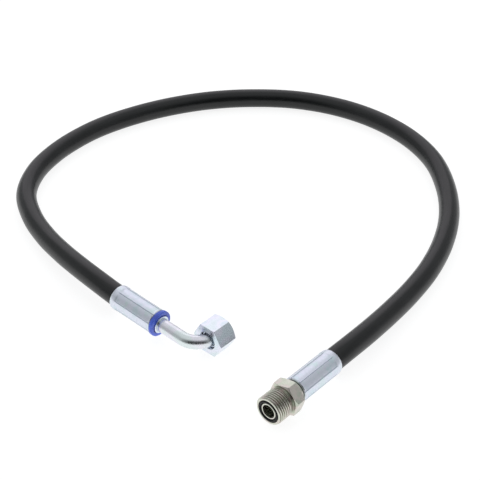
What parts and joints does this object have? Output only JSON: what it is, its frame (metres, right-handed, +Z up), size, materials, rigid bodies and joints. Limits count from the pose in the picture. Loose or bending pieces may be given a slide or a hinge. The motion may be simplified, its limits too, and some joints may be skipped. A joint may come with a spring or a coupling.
{
  "type": "hydraulic hose assembly",
  "caption": "Black two-braid rubber hydraulic hose in an open loop, with a crimped 90 degree swivel-nut elbow on one end and a crimped hexagon male threaded end on the other.",
  "frame": {"origin": "on the surface that the assembly lies on, at the middle of the footprint of its two metal ends", "axes": "+Z up; -Y along the axis of the male end, out of its seal face; +Y along the axis of the swivel nut, out of its mouth; the elbow's ferrule lies along X and the hose loops round behind the ends"},
  "size_m": [0.3603, 0.3488, 0.0246],
  "materials": {
    "cover_rubber": "satin smooth extruded rubber",
    "inner_rubber": "matte rubber",
    "seal_rubber": "satin nitrile rubber",
    "braid_wire": "brass-coated steel wire",
    "bright_zinc": "bright blue-passivated zinc plate",
    "warm_zinc": "iridescent yellow-olive passivated zinc plate",
    "blue_plastic": "smooth moulded plastic"
  },
  "bodies": {
    "hose_and_ends": {"hose_cover": "cover_rubber", "outer_wire_braid": "braid_wire", "braid_separator": "inner_rubber", "inner_wire_braid": "braid_wire", "hose_inner_tube": "inner_rubber", "elbow_ferrule": "bright_zinc", "elbow_insert": "bright_zinc", "blue_marker_ring": "blue_plastic", "elbow_tube": "bright_zinc", "sealing_sleeve": "bright_zinc", "male_ferrule": "bright_zinc", "male_body": "warm_zinc", "face_seal_ring": "seal_rubber"},
    "nut": {"swivel_nut": "bright_zinc"}
  },
  "joints": [
    {"name": "nut_turn", "type": "hinge", "parent": "hose_and_ends", "child": "nut", "pos_m": [-0.006, 0.005, 0.011], "axis": [0, 1, 0], "continuous": true}
  ]
}
